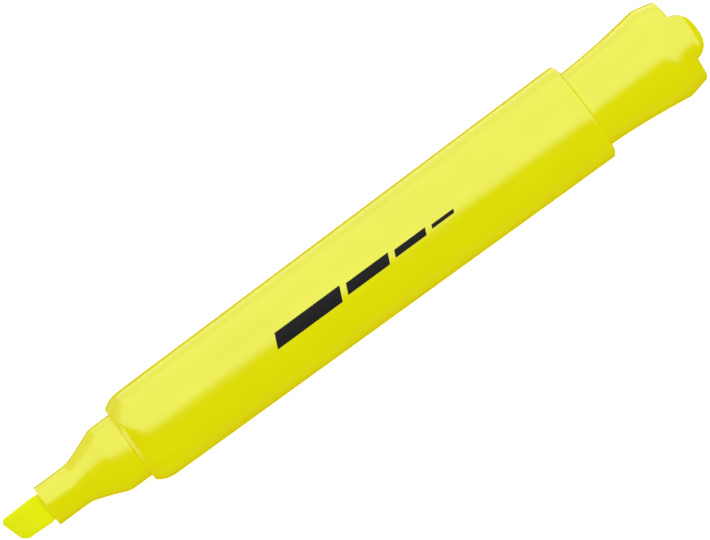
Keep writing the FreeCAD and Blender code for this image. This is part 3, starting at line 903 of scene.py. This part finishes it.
@dataclass
class Cap:
    """Cap moulding: skirt, flared grip, faceted end and the lobe that carries the clip."""

    datum: Datum
    mouth: tuple[float, float] = (7.1, 5.65)
    inner: tuple[float, float, float] = (6.1, 4.65, 25.4)
    skirt: float = 7.8
    crease: tuple[float, float, float] = (23.3, 8.52, 6.8)
    end: tuple[float, float, float] = (27.2, 7.8, 6.1)
    round_edge: float = 0.6
    flare_power: float = 1.6
    lobe: tuple[float, float, float] = (4.15, 6.55, 2.75)
    hinge: float = 1.05
    lip: float = 3.0
    crease_half: float = 0.12
    strap_power: float = 12.0
    join_power: float = 40.0
    lobe_edge: float = 2.0
    lobe_drop: float = 1.7
    count: int = 256

    def ellipse(self, turn: float, width: float, depth: float) -> float:
        """Return an oval's radius in one direction."""
        return 1.0 / math.hypot(math.cos(turn) / width, math.sin(turn) / depth)

    def strap(self, turn: float, width: float, depth: float) -> float:
        """Return the radius of the lobe's section: straight flanks under an oval crown."""
        side = abs(math.cos(turn) / width)
        crown = math.hypot(math.cos(turn) / self.end[1], math.sin(turn) / depth)
        return (side ** self.strap_power + crown ** self.strap_power) ** (-1.0 / self.strap_power)

    def ring(self, x: float, oval: tuple[float, float], strap: tuple[float, float] | None,
             forward: float = 0.0) -> list[tuple[float, float, float]]:
        """Return a ring of the cap's outside at one station.

        Args:
            x: station along the cap.
            oval: half width and half depth of the oval.
            strap: half width and half depth of the strap that stands out of it, if any.
            forward: how much further along the strap's part of the ring lies.

        Returns:
            The ring's points.
        """
        points = []
        power = self.join_power
        for turn in turns(self.count):
            radius = self.ellipse(turn, *oval)
            ahead = 0.0
            if strap is not None:
                other = self.strap(turn, *strap)
                top = max(radius, other)
                ahead = forward * smooth((other / radius - 0.98) / 0.04)
                radius = top * ((radius / top) ** power + (other / top) ** power) ** (1 / power)
            points.append((x + ahead, radius * math.cos(turn), radius * math.sin(turn)))
        return points

    def outside(self, skin: Skin) -> None:
        """Add the outer rings from the mouth to the tip of the lobe."""
        start, width, depth = self.crease
        span = start - self.skirt
        for stop in eased([Stop(self.lip, *self.inner[:2]), Stop(0.0, *self.inner[:2], 0.2),
                           Stop(0.0, *self.mouth, 0.25), Stop(self.lip, *self.mouth)],
                          False)[1:]:
            skin.add(self.ring(stop.x, (stop.width, stop.depth), None))
        skin.add(self.ring(self.skirt, self.mouth, None))
        for index in range(1, 21):
            step = index / 20
            rise = step ** self.flare_power
            oval = (self.mouth[0] + (width - self.mouth[0]) * rise,
                    self.mouth[1] + (depth - self.mouth[1]) * rise)
            skin.add(self.ring(self.skirt + (span - self.crease_half) * step, oval, None))
        strap = self.lobe[:2]
        last = self.end[0] - self.round_edge
        for index in range(1, 9):
            step = index / 8
            oval = (width + (self.end[1] - width) * step, depth + (self.end[2] - depth) * step)
            rising = (strap[0], strap[1] - 0.15 * (1 - smooth(step * 3)))
            skin.add(self.ring(start + self.crease_half
                               + (last - start - self.crease_half) * step, oval, rising))
        for index in range(1, 6):
            turn = math.pi / 2 * index / 5
            drop = self.round_edge * (1 - math.cos(turn))
            skin.add(self.ring(last + self.round_edge * math.sin(turn),
                               (self.end[1] - drop, self.end[2] - drop), strap))
        for share in (0.75, 0.5, 0.25):
            oval = (strap[0] * 0.9 + (self.end[1] - strap[0]) * share,
                    strap[1] * 0.8 + (self.end[2] - strap[1] * 0.8) * share)
            skin.add(self.ring(self.end[0], oval, strap, 0.3 * (1 - share)))
        self.lobe_rings(skin)

    def lobe_rings(self, skin: Skin) -> None:
        """Add the rings of the lobe's rounded end."""
        width, depth, length = self.lobe
        for index in range(2, 19):
            turn = math.pi / 2 * index / 18 * 0.985
            out = math.sin(turn)
            x = self.end[0] + length * out
            wide = width * max(0.02, math.cos(turn)) ** 0.8
            edge = min(1.0, length * (1 - out) / self.lobe_edge)
            deep = depth - self.lobe_drop * (1 - math.sqrt(max(0.0, 1 - (1 - edge) ** 2)))
            skin.add([(x, self.strap(side, wide, deep) * math.cos(side),
                       self.strap(side, wide, deep) * math.sin(side))
                      for side in turns(self.count)])

    def inside(self, skin: Skin) -> None:
        """Add the inner rings from the floor of the cavity to the mouth."""
        width, depth, deep = self.inner
        stops = eased([Stop(deep, 0.5, 0.5), Stop(deep, width, depth, 0.5),
                       Stop(self.lip, width, depth)], False)
        for stop in stops:
            skin.add(self.ring(stop.x, (stop.width, stop.depth), None))

    def build(self, finish: bpy.types.Material) -> bpy.types.Object:
        """Make and dress the cap moulding."""
        skin = Skin("cap_moulding", self.datum)
        self.inside(skin)
        self.outside(skin)
        skin.join(closed=False)
        skin.pole(Facing.FIRST, (self.inner[2], 0.0, 0.0))
        skin.pole(Facing.LAST, (self.end[0] + self.lobe[2], 0.0, 0.0))
        piece = skin.finish()
        carve(piece, self.cutter())
        return dress(piece, finish, "cap", "cap_shell")

    def cutter(self) -> bpy.types.Object:
        """Return the round bar that cuts the clip's groove across the lobe."""
        mesh = bmesh.new()
        place = Matrix.Translation(self.datum.at(self.end[0], 0.0, -self.lobe[1]))
        place @= Matrix.Rotation(math.pi / 2, 4, "X")
        bmesh.ops.create_cone(mesh, cap_ends=True, segments=48, radius1=self.hinge * MM,
                              radius2=self.hinge * MM, depth=20.0 * MM, matrix=place)
        return make_object("groove_cutter", mesh)


@dataclass
class CapSeal:
    """Soft cup inside the cap with a rounded lip and two sealing beads."""

    datum: Datum
    start: float = 12.0
    floor: float = 25.4
    outer: float = 4.45
    inner: float = 3.75
    base: float = 0.7

    def build(self, finish: bpy.types.Material) -> bpy.types.Object:
        """Make and dress the seal."""
        skin = Skin("seal_cup", self.datum)
        bottom = self.floor - self.base
        stops = [Stop(self.floor, 0.4, 0.4), Stop(self.floor, self.outer, self.outer, 0.15),
                 Stop(self.start, self.outer, self.outer, 0.3),
                 Stop(self.start, self.inner + 0.1, self.inner + 0.1, 0.25)]
        for bead in (self.start + 2.0, self.start + 3.4):
            stops += [Stop(bead - 0.4, self.inner + 0.05, self.inner + 0.05, 0.15),
                      Stop(bead, self.inner, self.inner, 0.15),
                      Stop(bead + 0.4, self.inner + 0.05, self.inner + 0.05, 0.15)]
        stops += [Stop(bottom, self.inner, self.inner, 0.5), Stop(bottom, 0.4, 0.4)]
        skin.sweep(eased(stops, closed=False), 96)
        skin.join(closed=False)
        skin.pole(Facing.FIRST, (self.floor, 0.0, 0.0))
        skin.pole(Facing.LAST, (bottom, 0.0, 0.0))
        return dress(skin.finish(), finish, "cap", "cap_seal")


@dataclass
class PocketClip:
    """Clip tongue along the back of the cap, with a nub at its tip and a rolled root."""

    datum: Datum
    tip: float = 8.8
    root: float = 27.2
    inner: float = -7.25
    thickness: float = 1.3
    lean: float = 0.8
    root_half: float = 3.9
    tip_half: float = 3.0
    roll: float = 0.72
    tip_round: float = 1.25
    nub_place: float = 1.3
    nub_run: float = 0.8
    nub_height: float = 0.35
    nub_half: float = 1.9
    steps: int = 28
    bends: int = 8
    count: int = 56

    def path(self) -> list[tuple[float, float, float, float, float]]:
        """Return stations as x, z, direction, half thickness and half width."""
        middle = self.inner - self.thickness / 2
        half = self.thickness / 2
        result = []
        span = self.root - self.tip
        for index in range(self.steps + 1):
            share = index / self.steps
            x = self.tip + span * share
            z = middle + self.lean * (1 - share)
            wide = self.tip_half + (self.root_half - self.tip_half) * share
            result.append((x, z, 0.0, half, wide))
        for index in range(1, self.bends + 1):
            turn = math.pi / 2 * index / self.bends
            x = self.root + self.roll * math.sin(turn)
            z = middle + self.roll * (1 - math.cos(turn))
            result.append((x, z, turn, half - 0.1 * index / self.bends, self.root_half))
        return result

    def ring(self, station: tuple[float, float, float, float, float], wide: float,
             thick: float) -> list[tuple[float, float, float]]:
        """Return one ring across the tongue."""
        x, z, turn, half, width = station
        near = (x - self.tip - self.nub_place) / self.nub_run
        points = []
        for across, out in section(width * wide, half * thick, 5.0, 3.6, self.count):
            if out > 0 and turn == 0.0:
                out += (self.nub_height * math.exp(-near * near)
                        * smooth((self.nub_half - abs(across)) / 0.6))
            points.append((x - out * math.sin(turn), across, z + out * math.cos(turn)))
        return points

    def build(self, finish: bpy.types.Material) -> bpy.types.Object:
        """Make and dress the clip."""
        skin = Skin("clip_tongue", self.datum)
        stations = self.path()
        first = stations[0]
        for index in range(self.bends + 1):
            angle = math.pi / 2 * index / self.bends
            x = self.tip + self.tip_round * (1 - math.cos(angle))
            share = (x - self.tip) / (self.root - self.tip)
            station = (x, first[1] - self.lean * share, 0.0, first[3],
                       self.tip_half + (self.root_half - self.tip_half) * share)
            skin.add(self.ring(station, 0.55 + 0.45 * math.sin(angle),
                               0.55 + 0.45 * math.sin(angle) ** 0.5))
        for station in stations[3:]:
            skin.add(self.ring(station, 1.0, 1.0))
        skin.join(closed=False)
        skin.pole(Facing.FIRST, (self.tip, 0.0, first[1]))
        last = stations[-1]
        skin.pole(Facing.LAST, (last[0], 0.0, last[1]))
        return dress(skin.finish(), finish, "clip", "pocket_clip")


@dataclass
class PrintedMark:
    """Generic print on the barrel: a row of slanted strokes from broad to fine."""

    barrel: Barrel
    start: float = 28.8
    centre: float = -0.5
    lift: float = 0.012
    slant: float = 0.45

    def strokes(self) -> list[tuple[float, float, float]]:
        """Return the strokes as start, end and half height."""
        return [(0.0, 13.0, 1.25), (14.2, 22.6, 0.9), (23.8, 30.0, 0.6), (31.2, 35.6, 0.32)]

    def stroke(self, mesh: bmesh.types.BMesh, start: float, end: float, half: float) -> None:
        """Add one stroke as a thin slab that follows the barrel's face."""
        datum = self.barrel.datum
        columns = max(4, int((end - start) / 0.6))
        rows = max(2, int(half * 6))
        grids = []
        for lift in (self.lift, -0.01):
            grid = []
            for row in range(rows + 1):
                line = []
                across = -half + 2 * half * row / rows
                for column in range(columns + 1):
                    x = self.start + start + (end - start) * column / columns
                    x += self.slant * across
                    y = self.centre + across
                    line.append(mesh.verts.new(
                        datum.at(x, y, self.barrel.surface(x, y) + lift)))
                grid.append(line)
            grids.append(grid)
        top, under = grids
        for row in range(rows):
            for column in range(columns):
                for grid in grids:
                    mesh.faces.new((grid[row][column], grid[row][column + 1],
                                    grid[row + 1][column + 1], grid[row + 1][column]))
        border = ([(0, c) for c in range(columns)] + [(r, columns) for r in range(rows)]
                  + [(rows, c) for c in range(columns, 0, -1)]
                  + [(r, 0) for r in range(rows, 0, -1)])
        for index, (row, column) in enumerate(border):
            other = border[(index + 1) % len(border)]
            mesh.faces.new((top[row][column], top[other[0]][other[1]],
                            under[other[0]][other[1]], under[row][column]))

    def build(self, finish: bpy.types.Material) -> bpy.types.Object:
        """Make and dress the print."""
        mesh = bmesh.new()
        for start, end, half in self.strokes():
            self.stroke(mesh, start, end, half)
        bmesh.ops.recalc_face_normals(mesh, faces=mesh.faces)
        piece = make_object("stroke_print", mesh)
        piece.data.materials.append(finish)
        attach(piece, "barrel")
        log.info("%s: %d faces", piece.name, len(piece.data.polygons))
        return piece


# ---------------------------------------------------------------------------------------
# Studio
# ---------------------------------------------------------------------------------------


class Seen(Enum):
    """What a panel or a sheet of the studio does."""

    LIT = "lights surfaces only"
    GLOSS = "shows in gloss only"

    def apply(self, thing: bpy.types.Object) -> None:
        """Hide a panel or sheet from the camera and let it act in this one way."""
        thing.visible_camera = False
        thing.visible_diffuse = self is Seen.LIT
        thing.visible_glossy = self is Seen.GLOSS


def aimed(place: Vector, target: Vector, hint: Vector) -> Matrix:
    """Return the placement of a camera or panel.

    Args:
        place: where it stands.
        target: the point that it is turned to.
        hint: the direction that is roughly up.

    Returns:
        The matrix, with -Z towards the target.
    """
    back = (place - target).normalized()
    right = hint.cross(back).normalized()
    up = back.cross(right)
    return Matrix(((right.x, up.x, back.x, place.x), (right.y, up.y, back.y, place.y),
                   (right.z, up.z, back.z, place.z), (0.0, 0.0, 0.0, 1.0)))


@dataclass
class Studio:
    """Pale floor, two soft panels, glowing sheets that show in gloss, and the camera."""

    datum: Datum
    heading: float = math.radians(36.4)
    aim: tuple[float, float] = (46.18, 1.225)
    foot: tuple[float, float] = (1.17, 1.225)
    distance: float = 975.0
    span: float = 115.375
    box_height: float = 0.30
    box_edge: float = -0.022
    box_sides: tuple[float, float] = (-0.9, 0.38)
    box_reach: float = 0.9
    box_level: float = 2.75
    box_fade: float = 0.07
    wing_fade: tuple[float, float] = (-0.45, 0.25)
    wing_level: float = 1.25
    low_fade: tuple[float, float] = (-1.0, -0.4)
    low_level: float = 2.8
    low_x: float = -0.9
    low_half: float = 0.5
    low_ends: tuple[float, float] = (0.5, -0.7)
    sheet_foot: float = -1.2
    over_shift: float = 0.05
    over_height: float = 0.7
    over_size: tuple[float, float] = (0.5, 0.4)
    over_level: float = 5.0
    side_shift: float = 0.7
    side_height: float = 0.14
    side_size: tuple[float, float] = (1.0, 0.3)
    side_level: float = 0.7
    sky_level: float = 0.45
    floor_half: float = 3.0
    floor_drop: float = 0.0001
    floor_glow: float = 0.5

    def camera(self) -> None:
        """Add the camera above the nose, turned so that the pen rises to the right."""
        data = bpy.data.cameras.new("camera")
        camera = bpy.data.objects.new("camera", data)
        bpy.context.scene.collection.objects.link(camera)
        target = self.datum.at(*self.aim, 0.0)
        place = self.datum.at(*self.foot, self.distance)
        camera.matrix_world = aimed(place, target, self.upward())
        data.sensor_width = SENSOR
        data.lens = SENSOR * (place - target).length / (self.span * MM)
        data.clip_start, data.clip_end = 0.01, 20.0
        bpy.context.scene.camera = camera

    def panel(self, name: str, place: Vector, aim: Vector, size: tuple[float, float],
              level: float) -> None:
        """Add a soft panel that lights surfaces only.

        Args:
            name: the light's name.
            place: where the panel's middle is, in metres.
            aim: the point that it faces.
            size: its width and height in metres.
            level: brightness of its face.
        """
        data = bpy.data.lights.new(name, "AREA")
        data.shape = "RECTANGLE"
        data.size, data.size_y = size
        data.energy = level * size[0] * size[1] * math.pi
        light = bpy.data.objects.new(name, data)
        bpy.context.scene.collection.objects.link(light)
        steep = abs((place - aim).normalized().z) > 0.5
        light.matrix_world = aimed(place, aim, self.upward() if steep else UP)
        Seen.LIT.apply(light)

    def upward(self) -> Vector:
        """Return the direction over the floor that points away from the viewer."""
        return Vector((math.sin(self.heading), math.cos(self.heading), 0.0))

    def lights(self) -> None:
        """Add the glowing sheets, the two panels and the surrounding light."""
        self.softboxes()
        up = self.upward()
        over = up * self.over_shift + UP * self.over_height
        self.panel("overhead", over, over - UP, self.over_size, self.over_level)
        side = up * self.side_shift + UP * self.side_height
        self.panel("side_fill", side, Vector(), self.side_size, self.side_level)
        world = bpy.data.worlds.new("surround")
        bpy.context.scene.world = world
        world.use_nodes = True
        sky = world.node_tree.nodes["Background"]
        sky.inputs["Color"].default_value = (1.0, 1.0, 1.0, 1.0)
        sky.inputs["Strength"].default_value = self.sky_level
        world.cycles_visibility.glossy = False

    def softboxes(self) -> None:
        """Add the diffuser over the pen and the paler ones past the nose, as gloss only."""
        up = self.upward()
        right = up.cross(UP)
        left, side = right * self.box_sides[0], right * self.box_sides[1]
        near, far = self.box_edge - self.box_fade / 2, self.box_edge + self.box_reach
        rise, sink = UP * self.box_height, UP * self.sheet_foot
        self.sheet("softbox_sheet", [
            (up * near + left + rise, up * near + side + rise),
            (up * far + left + rise, up * far + side + rise),
            (up * far + left + sink, up * far + side + sink)],
            (near, near + self.box_fade), self.box_level)
        start = self.wing_fade[0]
        self.sheet("wing_sheet", [(up * start + left + rise, up * far + left + rise),
                                  (up * start + left + sink, up * far + left + sink)],
                   self.wing_fade, self.wing_level)
        self.sheet("low_sheet", [(Vector((self.low_x, -self.low_half, z)),
                                  Vector((self.low_x, self.low_half, z)))
                                 for z in self.low_ends], self.low_fade, self.low_level)

    def sheet(self, name: str, lines: Sequence[tuple[Vector, Vector]],
              fade: tuple[float, float], level: float) -> None:
        """Add a glowing sheet that only shows in gloss.

        Args:
            name: the sheet's name.
            lines: its cross lines in order, each as two ends.
            fade: where over the floor, away from the viewer, it starts and reaches full glow.
            level: brightness of its face.
        """
        mesh = bmesh.new()
        rows = [[mesh.verts.new(end) for end in line] for line in lines]
        for first, second in zip(rows, rows[1:]):
            mesh.faces.new((first[0], first[1], second[1], second[0]))
        box = make_object(name, mesh)
        material = bpy.data.materials.new(f"{name}_cloth")
        material.use_nodes = True
        graph = Graph(material.node_tree)
        graph.tree.nodes.remove(graph.tree.nodes["Principled BSDF"])
        coordinate = graph.node("ShaderNodeTexCoord")
        along = graph.node("ShaderNodeVectorMath", {"operation": "DOT_PRODUCT"})
        graph.feed(along.inputs[0], coordinate.outputs["Object"])
        graph.feed(along.inputs[1], tuple(self.upward()))
        share = graph.ramp(along.outputs["Value"], *fade)
        place = graph.node("ShaderNodeSeparateXYZ", None, Vector=coordinate.outputs["Object"])
        lower = graph.math("ADD", 0.55, graph.math(
            "MULTIPLY", graph.ramp(place.outputs["Z"], -0.3, 0.15), 0.45))
        share = graph.math("MULTIPLY", share, lower)
        glow = graph.node("ShaderNodeEmission", None,
                          Strength=graph.math("MULTIPLY", share, level))
        graph.feed(graph.tree.nodes["Material Output"].inputs["Surface"], glow.outputs[0])
        box.data.materials.append(material)
        Seen.GLOSS.apply(box)
        box.visible_shadow = False

    def floor(self) -> None:
        """Add the pale sheet that the pen lies on."""
        mesh = bmesh.new()
        bmesh.ops.create_grid(mesh, x_segments=2, y_segments=2, size=self.floor_half)
        floor = make_object("pale_sheet", mesh)
        floor.location.z = -self.floor_drop
        material, graph, shader = new_material("pale_sheet_paper")
        texture = graph.noise(object_place(graph), 0.4, 4.0, 0.6)
        graph.feed(shader.inputs["Base Color"],
                   graph.blend(texture, (0.93, 0.93, 0.93, 1.0), (0.95, 0.95, 0.95, 1.0)))
        shader.inputs["Roughness"].default_value = 1.0
        shader.inputs["Specular IOR Level"].default_value = 0.0
        shader.inputs["Emission Color"].default_value = (1.0, 1.0, 1.0, 1.0)
        shader.inputs["Emission Strength"].default_value = self.floor_glow
        floor.data.materials.append(material)
        floor.visible_glossy = False

    def build(self) -> None:
        """Set the stage."""
        scene = bpy.context.scene
        scene.view_settings.view_transform = "Standard"
        self.camera()
        self.lights()
        self.floor()


def main() -> None:
    """Build every sub-assembly in order and report it."""
    logging.basicConfig(level=logging.INFO, format="%(message)s")
    barrel_low, barrel_high = box_between("barrel_shell")
    cap_low, _ = box_between("cap_shell")
    axis = (barrel_low.z + barrel_high.z) / 2
    pen, cap = Datum(barrel_low.x, axis), Datum(cap_low.x, axis)

    # The glow colours below are painted glow, an even emission that lifts the shaded side; the orange one
    # of the yellow plastic also warms it.
    yellow = PlasticFinish("tank_yellow", body=(0.22, 0.45, 0.0), glow=(0.514, 0.272, 0.0),
                           painted_glow_strength=1.0, roughness=0.13, level=axis)
    nose_yellow = replace(yellow, name="nose_yellow", flash=0.012)
    cap_yellow = replace(yellow, name="cap_yellow", scratches=1.3)
    plug_yellow = replace(yellow, name="plug_yellow", roughness=0.45, flash=0.0)
    milky = PlasticFinish("seal_milky", body=(0.78, 0.8, 0.7), glow=(0.0, 0.0, 0.0),
                          painted_glow_strength=0.0, roughness=0.4, grain=0.001, flash=0.0)
    felt = FibreFinish("inked_felt", ink=(0.47, 0.56, 0.0), pale=(0.56, 0.65, 0.0),
                       glow=(0.3, 0.27, 0.0), painted_glow_strength=1.0)
    fibre = FibreFinish("inked_fibre", ink=(0.5, 0.62, 0.0), pale=(0.75, 0.8, 0.2),
                        glow=(0.2, 0.2, 0.0), painted_glow_strength=1.0, strand=4.0, depth=0.08)

    barrel = Barrel(pen)
    skin = yellow.build()
    cap_skin = cap_yellow.build()
    barrel.build(skin)
    FrontSection(pen).build(nose_yellow.build())
    ChiselNib(pen).build(felt.build())
    Reservoir().build(fibre.build(), FilmFinish("clear_film", (0.6, 0.66, 0.05),
                                                (0.85, 0.88, 0.75)).build())
    RearPlug(pen).build(plug_yellow.build())
    Cap(cap).build(cap_skin)
    CapSeal(cap).build(milky.build())
    PocketClip(cap).build(cap_skin)
    PrintedMark(barrel).build(PrintFinish("black_print", (0.008, 0.008, 0.008),
                                          (0.05, 0.05, 0.01)).build())
    Studio(pen).build()


if __name__ == "__main__":
    main()
